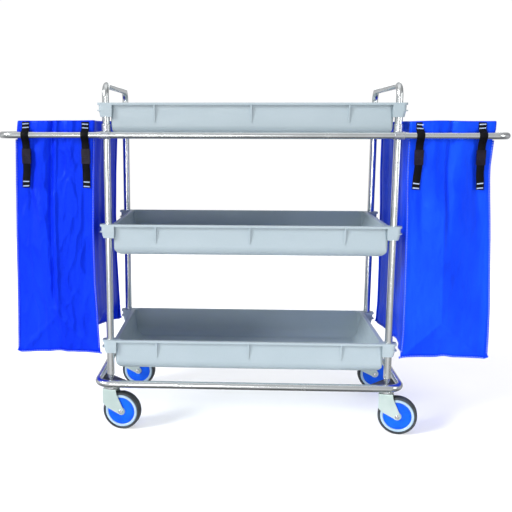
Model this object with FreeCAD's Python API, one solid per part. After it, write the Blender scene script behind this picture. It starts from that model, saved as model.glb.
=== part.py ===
import FreeCAD, Part
import math
import os

os.makedirs("parts", exist_ok=True)
V = FreeCAD.Vector
X, Y, Z = V(1, 0, 0), V(0, 1, 0), V(0, 0, 1)

# Housekeeping cart. Millimetres, origin on the floor under the middle of the
# cart, +X along the length, +Y towards the rear, +Z up.

# ---- driving dimensions -------------------------------------------------
POST_X, POST_Y = 468.0, 215.0        # corner post axes
POST_D, POST_WALL = 25.0, 1.4        # lower corner posts
POST_Z0, POST_Z1 = 192.0, 1088.0
HANDLE_D, HANDLE_WALL = 22.0, 1.5    # upper frames that slide into the posts
HANDLE_Z0, HANDLE_ZC, HANDLE_R = 872.0, 1156.0, 36.0
POST_SCREW_Z = 914.0
BASE_D, BASE_WALL = 25.0, 1.5        # lower perimeter tube
BASE_X, BASE_Y, BASE_Z, BASE_R = 512.0, 244.5, 164.0, 46.0
GUSSET_LEG, GUSSET_T, GUSSET_Z = 150.0, 4.0, 152.0
RAIL_D, RAIL_WALL = 22.0, 1.4        # bag rail round the whole cart
RAIL_X, RAIL_Y, RAIL_Z, RAIL_R = 814.0, 239.0, 997.0, 46.0
RAIL_JOINT_X = 470.0
TRAY_RIM_Z = (1100.0, 706.5, 313.0)
TRAY_H = 104.0
TRAY_HX, TRAY_HY = 454.0, 233.0      # rim outline half sizes
TRAY_T = 3.0
RIB_X = (-310.0, 0.0, 310.0)
EAR_OUT, EAR_IN, EAR_Y = 26.0, 22.0, 18.0
BAG_X0, BAG_X1, BAG_Y = 503.0, 775.0, 226.0
BAG_Z0, BAG_Z1, BAG_T = 272.0, 1042.0, 4.0
STRAP_W, STRAP_T = 25.0, 1.8
STRAP_X = (533.0, 727.0)
STRAP_END_Z = 827.0
BUCKLE_Z0, BUCKLE_Z1 = 905.0, 953.0
WHEEL_D, TREAD_W, RIM_D, COVER_D = 130.0, 34.0, 113.0, 93.0
TRAIL = 39.0
AXLE_Z = WHEEL_D / 2
FORK_GAP, FORK_T = 37.0, 2.5
AXLE_D, BUSH_D, STEM_D = 8.0, 12.0, 12.0
CROWN_Z = 138.0
SWIVEL_DEG = {"front_left": -10.0, "front_right": -13.0, "rear_left": -6.0, "rear_right": 0.0}
CORNERS = {"front_left": (-1, -1), "front_right": (1, -1), "rear_left": (-1, 1), "rear_right": (1, 1)}


# ---- helpers ------------------------------------------------------------
def cyl(r, p, axis, length):
    return Part.makeCylinder(r, length, p, axis)


def box(x0, x1, y0, y1, z0, z1):
    return Part.makeBox(x1 - x0, y1 - y0, z1 - z0, V(x0, y0, z0))


def fuse(shapes):
    out = shapes[0]
    if len(shapes) > 1:
        out = out.multiFuse(shapes[1:])
    return out.removeSplitter()


def ring(c, n, ro, ri):
    disc = Part.Face(Part.Wire(Part.makeCircle(ro, c, n)))
    if ri > 0:
        disc = disc.cut(Part.Face(Part.Wire(Part.makeCircle(ri, c, n)))).Faces[0]
    return disc


def bent_tube(pts, radius, ro, ri, closed=False):
    """Tube along straight runs joined by tangent arcs of one radius."""
    n = len(pts)
    segs, ends = [], {}
    idx = range(n) if closed else range(1, n - 1)
    for i in idx:
        p, a, b = pts[i], pts[i - 1], pts[(i + 1) % n]
        u, v = (a - p).normalize(), (b - p).normalize()
        turn = math.pi - u.getAngle(v)
        t = radius * math.tan(turn / 2)
        s, e = p + u * t, p + v * t
        centre = p + (u + v).normalize() * (radius / math.cos(turn / 2))
        axis = (s - centre).cross(e - centre).normalize()
        segs.append(ring(s, u, ro, ri).revolve(centre, axis, math.degrees(turn)))
        ends[i] = (s, e)
    runs = range(n) if closed else range(n - 1)
    for i in runs:
        j = (i + 1) % n
        s = ends[i][1] if i in ends else pts[i]
        e = ends[j][0] if j in ends else pts[j]
        segs.append(ring(s, e - s, ro, ri).extrude(e - s))
    return fuse(segs)


def rrect_wire(x0, x1, y0, y1, r, z):
    """Rounded rectangle; r is one radius or a dict of corner radii ll, lr, ur, ul."""
    c = {"ll": r, "lr": r, "ur": r, "ul": r} if not isinstance(r, dict) else r
    k = math.sqrt(0.5)
    e = []

    def line(a, b):
        if (a - b).Length > 1e-6:
            e.append(Part.LineSegment(a, b).toShape())

    def arc(a, m, b):
        if (a - b).Length > 1e-6:
            e.append(Part.Arc(a, m, b).toShape())

    ll, lr, ur, ul = c["ll"], c["lr"], c["ur"], c["ul"]
    line(V(x0 + ll, y0, z), V(x1 - lr, y0, z))
    arc(V(x1 - lr, y0, z), V(x1 - lr + lr * k, y0 + lr - lr * k, z), V(x1, y0 + lr, z))
    line(V(x1, y0 + lr, z), V(x1, y1 - ur, z))
    arc(V(x1, y1 - ur, z), V(x1 - ur + ur * k, y1 - ur + ur * k, z), V(x1 - ur, y1, z))
    line(V(x1 - ur, y1, z), V(x0 + ul, y1, z))
    arc(V(x0 + ul, y1, z), V(x0 + ul - ul * k, y1 - ul + ul * k, z), V(x0, y1 - ul, z))
    line(V(x0, y1 - ul, z), V(x0, y0 + ll, z))
    arc(V(x0, y0 + ll, z), V(x0 + ll - ll * k, y0 + ll - ll * k, z), V(x0 + ll, y0, z))
    return Part.Wire(e)


def prism(x0, x1, y0, y1, r, z0, z1):
    return Part.Face(rrect_wire(x0, x1, y0, y1, r, z0)).extrude(V(0, 0, z1 - z0))


def export(shape, name):
    shape.exportStep("parts/%s.step" % name)
    ok = shape.isValid() and all(s.isClosed() for s in shape.Shells)
    print(name, "solids", len(shape.Solids), "vol_cm3", round(shape.Volume / 1000, 2), "valid", ok)


def group(shapes):
    return Part.makeCompound(shapes)


def turned(shape, corner, deg):
    """Turn a caster piece drawn about the local swivel axis into its place."""
    sx, sy = CORNERS[corner]
    s = shape.copy()
    s.rotate(V(0, 0, 0), Z, deg)
    s.translate(V(sx * POST_X, sy * POST_Y, 0))
    return s


# ---- base frame ---------------------------------------------------------
def base_loop():
    p = [V(-BASE_X, -BASE_Y, BASE_Z), V(BASE_X, -BASE_Y, BASE_Z), V(BASE_X, BASE_Y, BASE_Z), V(-BASE_X, BASE_Y, BASE_Z)]
    return bent_tube(p, BASE_R, BASE_D / 2, BASE_D / 2 - BASE_WALL, closed=True)


def corner_gussets():
    """Triangular steel plates welded inside the corners of the base loop."""
    tubes = []
    p = [V(-BASE_X, -BASE_Y, BASE_Z), V(BASE_X, -BASE_Y, BASE_Z), V(BASE_X, BASE_Y, BASE_Z), V(-BASE_X, BASE_Y, BASE_Z)]
    solid_loop = bent_tube(p, BASE_R, BASE_D / 2 + 0.02, 0, closed=True)
    out = []
    for sx, sy in CORNERS.values():
        a = V(sx * (BASE_X - 4), sy * (BASE_Y - 4), GUSSET_Z)
        b = V(sx * (BASE_X - GUSSET_LEG), sy * (BASE_Y - 4), GUSSET_Z)
        c = V(sx * (BASE_X - 4), sy * (BASE_Y - GUSSET_LEG), GUSSET_Z)
        plate = Part.Face(Part.makePolygon([a, b, c, a])).extrude(V(0, 0, GUSSET_T))
        plate = plate.cut(solid_loop)
        plate = plate.cut(cyl(STEM_D / 2 + 0.3, V(sx * POST_X, sy * POST_Y, GUSSET_Z - 5), Z, 20))
        keep = max(plate.Solids, key=lambda s: s.Volume)
        out.append(keep)
    return group(out)


def post(sx, sy):
    p = V(sx * POST_X, sy * POST_Y, POST_Z0)
    t = ring(p, Z, POST_D / 2, POST_D / 2 - POST_WALL).extrude(V(0, 0, POST_Z1 - POST_Z0))
    for z in (POST_SCREW_Z, RAIL_Z + 25.0):
        t = t.cut(cyl(2.1, V(p.x, p.y + sy * 2, z), V(0, sy, 0), 30))
    return t


def handle_frame(sx):
    x = sx * POST_X
    pts = [V(x, -POST_Y, HANDLE_Z0), V(x, -POST_Y, HANDLE_ZC), V(x, POST_Y, HANDLE_ZC), V(x, POST_Y, HANDLE_Z0)]
    t = bent_tube(pts, HANDLE_R, HANDLE_D / 2, HANDLE_D / 2 - HANDLE_WALL)
    for sy in (-1, 1):
        t = t.cut(cyl(1.9, V(x, sy * (POST_Y + 2), POST_SCREW_Z), V(0, sy, 0), 30))
        t = t.cut(cyl(1.9, V(x, sy * (POST_Y + 2), RAIL_Z + 25.0), V(0, sy, 0), 30))
    return t


def post_foot(sx, sy):
    """Tapered ferrule in the post's lower end, threaded on the caster's king pin."""
    zb = POST_Z0 - 16
    prof = [(STEM_D / 2 + 0.05, zb), (8.0, zb), (8.9, zb + 1), (10.4, POST_Z0 - 4), (11.4, POST_Z0 - 2.6), (12.3, POST_Z0 - 1.6), (12.3, POST_Z0),
            (10.95, POST_Z0), (10.95, POST_Z0 + 20), (STEM_D / 2 + 0.05, POST_Z0 + 20), (STEM_D / 2 + 0.05, zb)]
    w = Part.makePolygon([V(r, 0, z) for r, z in prof])
    s = Part.Face(w).revolve(V(0, 0, 0), Z, 360)
    s.translate(V(sx * POST_X, sy * POST_Y, 0))
    return s


def pan_screw(pos, axis, head_r, head_h, shank_r, shank_len):
    """Pan-head screw whose head stands out along axis from pos."""
    s = cyl(head_r, pos, axis, head_h)
    edges = [e for e in s.Edges if e.Curve.TypeId == "Part::GeomCircle" and (e.CenterOfMass - pos).dot(axis) > head_h * 0.5]
    s = s.makeFillet(head_h * 0.55, edges)
    return s.fuse(cyl(shank_r, pos - axis * shank_len, axis, shank_len + 0.2)).removeSplitter()


# ---- bag rail -----------------------------------------------------------
def rail_bow(sx):
    pts = [V(sx * RAIL_JOINT_X, -RAIL_Y, RAIL_Z), V(sx * RAIL_X, -RAIL_Y, RAIL_Z), V(sx * RAIL_X, RAIL_Y, RAIL_Z), V(sx * RAIL_JOINT_X, RAIL_Y, RAIL_Z)]
    return bent_tube(pts, RAIL_R, RAIL_D / 2, RAIL_D / 2 - RAIL_WALL)


def rail_straight(sy):
    p = V(-RAIL_JOINT_X, sy * RAIL_Y, RAIL_Z)
    return ring(p, X, RAIL_D / 2, RAIL_D / 2 - RAIL_WALL).extrude(V(2 * RAIL_JOINT_X, 0, 0))


def rail_clamp(sx, sy):
    """Cross clamp: a collar round the post and a sleeve round the rail joint."""
    px, py = sx * POST_X, sy * POST_Y
    collar = cyl(14.6, V(px, py, RAIL_Z - 13), Z, 49)
    collar = collar.makeFillet(1.5, [e for e in collar.Edges if e.Curve.TypeId == "Part::GeomCircle"])
    sleeve = cyl(12.8, V(px - 16, sy * RAIL_Y, RAIL_Z), X, 32)
    sleeve = sleeve.makeFillet(1.0, [e for e in sleeve.Edges if e.Curve.TypeId == "Part::GeomCircle"])
    s = collar.fuse(sleeve)
    s = s.cut(cyl(POST_D / 2 + 0.03, V(px, py, RAIL_Z - 40), Z, 120))
    s = s.cut(cyl(RAIL_D / 2 + 0.03, V(px - 40, sy * RAIL_Y, RAIL_Z), X, 80))
    s = s.cut(cyl(2.1, V(px, py + sy * 2, RAIL_Z + 25), V(0, sy, 0), 30))
    return max(s.removeSplitter().Solids, key=lambda q: q.Volume)


# ---- trays --------------------------------------------------------------
def rounded_trough(h_top, h_bot, depth, r, along, half_len):
    """Prism whose cross-section has near-vertical sides and rounded lower corners."""
    k = math.sqrt(0.5)

    def at(u, z):
        return V(u, -half_len, z) if along == "y" else V(-half_len, u, z)

    hm = h_bot + (h_top - h_bot) * (r / depth)
    pts = [at(-h_top, 0), at(-hm, -depth + r), at(-h_bot + r, -depth), at(h_bot - r, -depth), at(hm, -depth + r), at(h_top, 0)]
    arc1 = Part.Arc(pts[1], at(-h_bot + r - r * k, -depth + r - r * k), pts[2]).toShape()
    arc2 = Part.Arc(pts[3], at(h_bot - r + r * k, -depth + r - r * k), pts[4]).toShape()
    w = Part.Wire([Part.LineSegment(pts[0], pts[1]).toShape(), arc1, Part.LineSegment(pts[2], pts[3]).toShape(), arc2,
                   Part.LineSegment(pts[4], pts[5]).toShape(), Part.LineSegment(pts[5], pts[0]).toShape()])
    d = V(0, 2 * half_len, 0) if along == "y" else V(2 * half_len, 0, 0)
    return Part.Face(w).extrude(d)


def tray_volume(hx, hy, draft_x, draft_y, depth, r, rc):
    a = rounded_trough(hx, hx - draft_x, depth, r, "y", 300)
    b = rounded_trough(hy, hy - draft_y, depth, r, "x", 600)
    c = prism(-hx, hx, -hy, hy, rc, -depth, 0)
    return a.common(b).common(c)


def tray():
    """Moulded tray with its rim at z = 0: drafted walls, flanged rim, corner sockets and rim ribs."""
    ox, oy = TRAY_HX - 1.0, TRAY_HY - 9.0
    outer = tray_volume(ox, oy, 4.0, 5.0, TRAY_H, 30.0, 20.0)
    inner = tray_volume(ox - TRAY_T - 9.0, oy - TRAY_T, 9.0, 5.0, TRAY_H - TRAY_T, 27.0, 22.0)
    inner_low = tray_volume(ox - TRAY_T - 3.0, oy - TRAY_T, 15.0, 5.0, TRAY_H - TRAY_T, 27.0, 22.0)
    inner_low = inner_low.common(box(-600, 600, -300, 300, -TRAY_H, -8.0))
    rim = prism(-TRAY_HX, TRAY_HX, -TRAY_HY, TRAY_HY, 8.0, -3.0, 0.0)
    lip = prism(-TRAY_HX, TRAY_HX, -TRAY_HY, TRAY_HY, 8.0, -7.0, -2.5).cut(
        prism(-TRAY_HX + 2.5, TRAY_HX - 2.5, -TRAY_HY + 2.5, TRAY_HY - 2.5, 6.0, -8.0, -1.0))
    parts = [outer, rim, lip]
    for sx, sy in CORNERS.values():
        px, py = sx * POST_X, sy * POST_Y

        def block(out, inn, yo, yi, r, z0, z1):
            x0, x1 = sorted((px + sx * out, px - sx * inn))
            y0, y1 = sorted((py + sy * yo, py - sy * yi))
            key = ("l" if sy < 0 else "u") + ("l" if sx < 0 else "r")
            inner_key = ("u" if sy < 0 else "l") + ("l" if sx < 0 else "r")
            rr = {"ll": 0, "lr": 0, "ur": 0, "ul": 0}
            rr[key] = r
            rr[inner_key] = r * 0.6
            return rrect_wire(x0, x1, y0, y1, rr, z0), z1 - z0

        def solid(*a):
            w, h = block(*a)
            return Part.Face(w).extrude(V(0, 0, h))

        parts.append(solid(EAR_OUT, 24.0, EAR_Y, EAR_Y, 14.0, -7.0, 0.0))
        parts.append(solid(EAR_OUT - 5, EAR_IN, EAR_Y, EAR_Y - 1, 12.0, -24.0, -6.0))
        parts.append(solid(EAR_OUT + 1, EAR_IN, EAR_Y, EAR_Y, 14.0, -26.0, -23.0))
        w1, _ = block(EAR_OUT - 5, EAR_IN, EAR_Y, EAR_Y - 1, 12.0, -25.0, -24.0)
        w2, _ = block(16.0, EAR_IN - 1.0, 16.2, 15.5, 11.0, -45.0, -44.0)
        parts.append(Part.makeLoft([w1, w2], True, True))
    for sy in (-1, 1):
        for rx in RIB_X:
            yt, yb = sy * (TRAY_HY - 1.0), sy * (oy - 4.5)
            tri = Part.makePolygon([V(rx - 2.5, sy * (oy - 1.5), -2.0), V(rx - 2.5, yt, -2.0), V(rx - 2.5, yt, -7.0),
                                    V(rx - 2.5, sy * (oy - 1.5), -62.0), V(rx - 2.5, sy * (oy - 1.5), -2.0)])
            parts.append(Part.Face(tri).extrude(V(5.0, 0, 0)))
    t = fuse(parts)
    t = t.cut(inner.fuse(inner_low).removeSplitter())
    for sx, sy in CORNERS.values():
        t = t.cut(cyl(POST_D / 2 + 0.05, V(sx * POST_X, sy * POST_Y, -60), Z, 54))
        t = t.cut(cyl(HANDLE_D / 2 + 0.05, V(sx * POST_X, sy * POST_Y, -60), Z, 70))
        t = t.cut(cyl(2.0, V(sx * POST_X, sy * (POST_Y - 5), -34), V(0, -sy, 0), 20))
    t = t.removeSplitter()
    return max(t.Solids, key=lambda q: q.Volume)


def lower_tray(t):
    """The two lower trays are pierced right through by the full-size posts."""
    for sx, sy in CORNERS.values():
        t = t.cut(cyl(POST_D / 2 + 0.05, V(sx * POST_X, sy * POST_Y, -60), Z, 70))
    return t


# ---- bags and straps ----------------------------------------------------
def bag(sx):
    x0, x1 = sorted((sx * BAG_X0, sx * BAG_X1))
    o = prism(x0, x1, -BAG_Y, BAG_Y, 14.0, BAG_Z0, BAG_Z1)
    i = prism(x0 + BAG_T, x1 - BAG_T, -BAG_Y + BAG_T, BAG_Y - BAG_T, 10.0, BAG_Z0 + BAG_T, BAG_Z1 + 10)
    return o.cut(i)


def ribbon(cx, sy, pts, w, t):
    """Flat band: the (y, z) line gives its inner face, and it is t thick outwards."""
    n = len(pts)
    outer = []
    for k in range(n):
        a, b = pts[max(k - 1, 0)], pts[min(k + 1, n - 1)]
        dy, dz = b[0] - a[0], b[1] - a[1]
        length = math.hypot(dy, dz)
        outer.append((pts[k][0] - dz / length * t, pts[k][1] + dy / length * t))
    loop = list(pts) + outer[::-1]
    poly = Part.makePolygon([V(cx - w / 2, -sy * y, z) for y, z in loop] + [V(cx - w / 2, -sy * loop[0][0], loop[0][1])])
    return Part.Face(poly).extrude(V(w, 0, 0))


def strap_parts(cx, sy):
    """Webbing above and below the buckle, for the strap on the side sy."""
    yb = -(BAG_Y + 0.2)
    yr = -(RAIL_Y + RAIL_D / 2 + 0.4)
    yk = -(BAG_Y + 6.2)
    up = [(yb, BAG_Z1 - 3), (yb, RAIL_Z + 22), (yr + 6, RAIL_Z + 10.5), (yr, RAIL_Z + 5), (yr, RAIL_Z - 6), (yr + 5, RAIL_Z - 16), (yk, BUCKLE_Z1 + 8), (yk, BUCKLE_Z1 - 7)]
    lo = [(yk, BUCKLE_Z0 + 7), (yk, BUCKLE_Z0 - 6), (yb, BUCKLE_Z0 - 26), (yb, STRAP_END_Z)]
    a = ribbon(cx, 1, [(-y, z) for y, z in up], STRAP_W, STRAP_T)
    b = ribbon(cx, 1, [(-y, z) for y, z in lo], STRAP_W, STRAP_T)
    out = [a, b]
    if sy > 0:
        out = [s.mirror(V(0, 0, 0), Y) for s in out]
    return out


def buckle_parts(cx, sy):
    """Side-release buckle: upper socket with its side windows, lower clip with the prongs inside."""
    y1 = BAG_Y + 11.0
    y0 = BAG_Y + 2.4
    zm = (BUCKLE_Z0 + BUCKLE_Z1) / 2 - 4
    sock = box(cx - 14, cx + 14, -y1, -y0, zm, BUCKLE_Z1)
    sock = sock.makeFillet(2.0, [e for e in sock.Edges if abs(e.BoundBox.YLength - (y1 - y0)) < 0.1])
    sock = sock.cut(box(cx - 11, cx + 11, -y1 + 1.8, -y0 - 1.8, zm - 1, BUCKLE_Z1 - 13))
    for s in (-1, 1):
        xa, xb = sorted((cx + s * 10, cx + s * 15))
        sock = sock.cut(box(xa, xb, -y1 + 1.0, -y0 - 1.0, zm + 6, zm + 17))
    slot = box(cx - 12.7, cx + 12.7, -(BAG_Y + 8.4), -(BAG_Y + 6.0), BUCKLE_Z1 - 8, BUCKLE_Z1 + 1)
    sock = sock.cut(slot)
    clip = box(cx - 14, cx + 14, -y1 + 0.4, -y0 - 0.4, BUCKLE_Z0, zm - 0.3)
    clip = clip.makeFillet(2.0, [e for e in clip.Edges if abs(e.BoundBox.YLength - (y1 - y0 - 0.8)) < 0.1])
    for off, w in ((-9.0, 3.4), (0.0, 3.0), (9.0, 3.4)):
        clip = clip.fuse(box(cx + off - w / 2, cx + off + w / 2, -y1 + 2.4, -y0 - 2.4, zm - 2, zm + 13))
    clip = clip.removeSplitter()
    clip = clip.cut(box(cx - 12.7, cx + 12.7, -(BAG_Y + 8.4), -(BAG_Y + 6.0), BUCKLE_Z0 - 1, BUCKLE_Z0 + 8))
    out = [max(sock.Solids, key=lambda q: q.Volume), max(clip.Solids, key=lambda q: q.Volume)]
    if sy > 0:
        out = [s.mirror(V(0, 0, 0), Y) for s in out]
    return out


# ---- casters (local frame: swivel axis on Z, wheel trails towards +X) ---
def fork():
    yi, yo = FORK_GAP / 2, FORK_GAP / 2 + FORK_T
    pr = 11.5
    ax = V(TRAIL, 0, AXLE_Z)
    prof = [(-24, CROWN_Z + 4), (-24, 95), (-23, 90), (-18.5, 83.5), (-8, 75)]
    # tangent flanks down to the round tip about the axle
    poly = [V(x, 0, z) for x, z in prof]
    tip_l = V(TRAIL - 4.5, 0, AXLE_Z - math.sqrt(pr * pr - 4.5 * 4.5))
    tip_r = V(TRAIL + math.sqrt(pr * pr - 3.5 * 3.5), 0, AXLE_Z + 3.5)
    mid = V(TRAIL + pr * 0.66, 0, AXLE_Z - pr * math.sqrt(1 - 0.66 ** 2))
    edges = []
    pts = poly + [tip_l]
    for a, b in zip(pts, pts[1:]):
        edges.append(Part.LineSegment(a, b).toShape())
    edges.append(Part.Arc(tip_l, mid, tip_r).toShape())
    rest = [tip_r, V(25.0, 0, 124), V(22, 0, CROWN_Z + 4), poly[0]]
    for a, b in zip(rest, rest[1:]):
        edges.append(Part.LineSegment(a, b).toShape())
    side = Part.Face(Part.Wire(edges))
    side.translate(V(0, -60, 0))
    side = side.extrude(V(0, 120, 0))
    # channel section bent from one blank: two legs and the crown, rounded at the bends
    zt, zc = CROWN_Z + 4, CROWN_Z + 0.5
    outer = box(-40, 80, -yo, yo, 0, zt)
    outer = outer.makeFillet(6.0, [e for e in outer.Edges if abs(e.CenterOfMass.z - zt) < 0.1 and abs(abs(e.CenterOfMass.y) - yo) < 0.1])
    inner = box(-41, 81, -yi, yi, -1, zc)
    inner = inner.makeFillet(3.5, [e for e in inner.Edges if abs(e.CenterOfMass.z - zc) < 0.1 and abs(abs(e.CenterOfMass.y) - yi) < 0.1])
    channel = outer.cut(inner).common(side)
    race = cyl(21.0, V(0, 0, CROWN_Z + 3), Z, 4.5)
    race = race.makeFillet(1.5, [e for e in race.Edges if e.Curve.TypeId == "Part::GeomCircle" and e.CenterOfMass.z > CROWN_Z + 7])
    s = channel.fuse(race).removeSplitter()
    s = s.cut(cyl(STEM_D / 2 + 0.08, V(0, 0, CROWN_Z - 20), Z, 60))
    s = s.cut(cyl(AXLE_D / 2 + 0.03, ax - Y * 60, Y, 120))
    return s


def stem_nut():
    """Hexagon nut that clamps the caster to the gusset plate."""
    z0 = GUSSET_Z + GUSSET_T
    pts = [V(10.9 * math.cos(math.radians(60 * k)), 10.9 * math.sin(math.radians(60 * k)), z0) for k in range(7)]
    n = Part.Face(Part.makePolygon(pts)).extrude(V(0, 0, 9.5))
    n = n.common(Part.makeSphere(13.4, V(0, 0, z0 + 1.0)))
    return n.cut(cyl(STEM_D / 2 + 0.03, V(0, 0, z0 - 5), Z, 30))


def ball_ring():
    """Ring of the swivel bearing, between the fork's race and the fixed cup."""
    return ring(V(0, 0, CROWN_Z + 7.6), Z, 18.5, 11.0).extrude(V(0, 0, 1.9))


def swivel_cup():
    """Fixed upper race: inverted dish that covers the fork's race, with the ball track inside."""
    zt = GUSSET_Z - 0.1
    prof = [(STEM_D / 2 + 0.03, zt - 4.3), (STEM_D / 2 + 0.03, zt), (18, zt), (23.0, zt - 1.2), (24.8, zt - 3.6), (24.8, zt - 9.4),
            (23.2, zt - 9.4), (22.8, zt - 5.2), (22.0, zt - 4.3), (STEM_D / 2 + 0.03, zt - 4.3)]
    w = Part.makePolygon([V(r, 0, z) for r, z in prof])
    return Part.Face(w).revolve(V(0, 0, 0), Z, 360)


def stem():
    """Threaded king pin: head under the fork crown, shank up through the gusset into the post foot."""
    s = cyl(10.5, V(0, 0, CROWN_Z - 5.2), Z, 5.0)
    s = s.makeChamfer(1.2, [e for e in s.Edges if e.Curve.TypeId == "Part::GeomCircle" and e.CenterOfMass.z < CROWN_Z - 4])
    return s.fuse(cyl(STEM_D / 2, V(0, 0, CROWN_Z - 1), Z, POST_Z0 + 14 - CROWN_Z)).removeSplitter()


def hexagon(r, y0, y1, cx, cz):
    pts = [V(cx + r * math.cos(math.radians(60 * k + 30)), y0, cz + r * math.sin(math.radians(60 * k + 30))) for k in range(7)]
    return Part.Face(Part.makePolygon(pts)).extrude(V(0, y1 - y0, 0))


def axle_bolt():
    yo = FORK_GAP / 2 + FORK_T
    head = cyl(7.2, V(TRAIL, -yo - 4.4, AXLE_Z), Y, 4.3)
    head = head.makeFillet(2.4, [e for e in head.Edges if e.Curve.TypeId == "Part::GeomCircle" and e.CenterOfMass.y < -yo - 4])
    shank = cyl(AXLE_D / 2, V(TRAIL, -yo - 1.0, AXLE_Z), Y, 2 * yo + 9.5)
    return head.fuse(shank).removeSplitter()


def axle_nut():
    yo = FORK_GAP / 2 + FORK_T
    n = hexagon(7.5, yo + 0.1, yo + 6.6, TRAIL, AXLE_Z)
    n = n.common(Part.makeSphere(13.0, V(TRAIL, yo - 3.4, AXLE_Z)))
    return n.cut(cyl(AXLE_D / 2 + 0.03, V(TRAIL, 0, AXLE_Z), Y, 60))


def axle_bush():
    h = FORK_GAP / 2 - 0.05
    return ring(V(TRAIL, -h, AXLE_Z), Y, BUSH_D / 2, AXLE_D / 2 + 0.03).extrude(V(0, 2 * h, 0))


def revolved(prof):
    """Solid of revolution about the wheel axle; prof is (radius, y)."""
    w = Part.makePolygon([V(TRAIL + r, y, AXLE_Z) for r, y in prof] + [V(TRAIL + prof[0][0], prof[0][1], AXLE_Z)])
    return Part.Face(w).revolve(V(TRAIL, 0, AXLE_Z), Y, 360)


def wheel_rim():
    """Moulded wheel body: hub barrel, web and outer ring."""
    ro, ri, c = RIM_D / 2, BUSH_D / 2 + 0.06, COVER_D / 2
    half = [(ri, 17.6), (13.0, 17.6), (14.0, 16.8), (14.0, 6.0), (c + 0.6, 6.0), (c + 0.6, 14.2), (c + 2.0, 15.2), (ro - 2.0, 15.2), (ro - 0.8, 14.2), (ro, 12.0)]
    prof = half + [(r, -y) for r, y in half[::-1]]
    return revolved(prof)


def hub_cover(s):
    """Blue cover disc pressed into the rim face."""
    c = COVER_D / 2
    prof = [(14.3, 6.3), (c, 6.3), (c, 13.6), (c - 1.6, 14.6), (c - 8.0, 15.4), (24.0, 15.8), (17.0, 16.4), (14.3, 16.4)]
    return revolved([(r, s * y) for r, y in prof])


def tyre():
    ro, ri, h = WHEEL_D / 2, RIM_D / 2 + 0.02, TREAD_W / 2
    half = [(ri, 12.0), (ri, 13.2), (ri + 1.2, 15.2), (ri + 2.2, h - 0.2), (ri + 3.0, h), (ro - 3.2, h - 0.8), (ro - 1.4, h - 2.4), (ro - 0.4, h - 5.0), (ro, h - 8.5)]
    prof = half + [(r, -y) for r, y in half[::-1]]
    return revolved(prof)


# ---- build --------------------------------------------------------------
export(base_loop(), "base_loop_tube")
export(corner_gussets(), "corner_gussets")
for name, (sx, sy) in CORNERS.items():
    export(post(sx, sy), "post_%s" % name)
export(group([post_foot(sx, sy) for sx, sy in CORNERS.values()]), "post_feet")
export(handle_frame(-1), "handle_frame_left")
export(handle_frame(1), "handle_frame_right")
export(group([pan_screw(V(sx * POST_X, sy * (POST_Y + POST_D / 2 + 0.05), POST_SCREW_Z), V(0, sy, 0), 4.2, 2.6, 1.8, 6.0) for sx, sy in CORNERS.values()]), "post_screws")
export(rail_straight(-1), "rail_front_tube")
export(rail_straight(1), "rail_rear_tube")
export(rail_bow(-1), "rail_bow_left")
export(rail_bow(1), "rail_bow_right")
export(group([rail_clamp(sx, sy) for sx, sy in CORNERS.values()]), "rail_clamps")
export(group([pan_screw(V(sx * POST_X, sy * (POST_Y + 14.65), RAIL_Z + 25), V(0, sy, 0), 4.2, 2.6, 1.8, 8.0) for sx, sy in CORNERS.values()]), "clamp_screws")

base_tray = tray()
through_tray = lower_tray(base_tray)
for name, z, t in (("tray_top", TRAY_RIM_Z[0], base_tray), ("tray_middle", TRAY_RIM_Z[1], through_tray), ("tray_bottom", TRAY_RIM_Z[2], through_tray)):
    s = t.copy()
    s.translate(V(0, 0, z))
    export(s, name)
screws = []
for z in TRAY_RIM_Z:
    for sx, sy in CORNERS.values():
        screws.append(pan_screw(V(sx * POST_X, sy * (POST_Y - 16.6), z - 34), V(0, -sy, 0), 4.0, 2.4, 1.8, 3.9))
export(group(screws), "tray_screws")

for side, sx in (("left", -1), ("right", 1)):
    export(bag(sx), "bag_%s" % side)
    for face, sy in (("front", -1), ("rear", 1)):
        solids = []
        for x in STRAP_X:
            solids += strap_parts(sx * x, sy)
        export(group(solids), "straps_%s_%s" % (side, face))
sockets, clips = [], []
for sx in (-1, 1):
    for sy in (-1, 1):
        for x in STRAP_X:
            a, b = buckle_parts(sx * x, sy)
            sockets.append(a)
            clips.append(b)
export(group(sockets), "buckle_sockets")
export(group(clips), "buckle_clips")

cup, pin = swivel_cup(), stem()
export(group([turned(cup, c, 0) for c in CORNERS]), "swivel_cups")
export(group([turned(pin, c, 0) for c in CORNERS]), "caster_stems")
export(group([turned(stem_nut(), c, 0) for c in CORNERS]), "stem_nuts")
export(group([turned(ball_ring(), c, 0) for c in CORNERS]), "swivel_ball_rings")
pieces = {"fork": fork(), "axle_bolt": axle_bolt(), "axle_nut": axle_nut(), "axle_bush": axle_bush(),
          "wheel_rim": wheel_rim(), "hub_covers": group([hub_cover(1), hub_cover(-1)]), "tyre": tyre()}
for corner, deg in SWIVEL_DEG.items():
    for name, s in pieces.items():
        export(turned(s, corner, deg), "%s_%s" % (name, corner))
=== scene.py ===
import math

import bmesh
import bpy
import numpy as np
from mathutils import Matrix, Vector, noise


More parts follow.
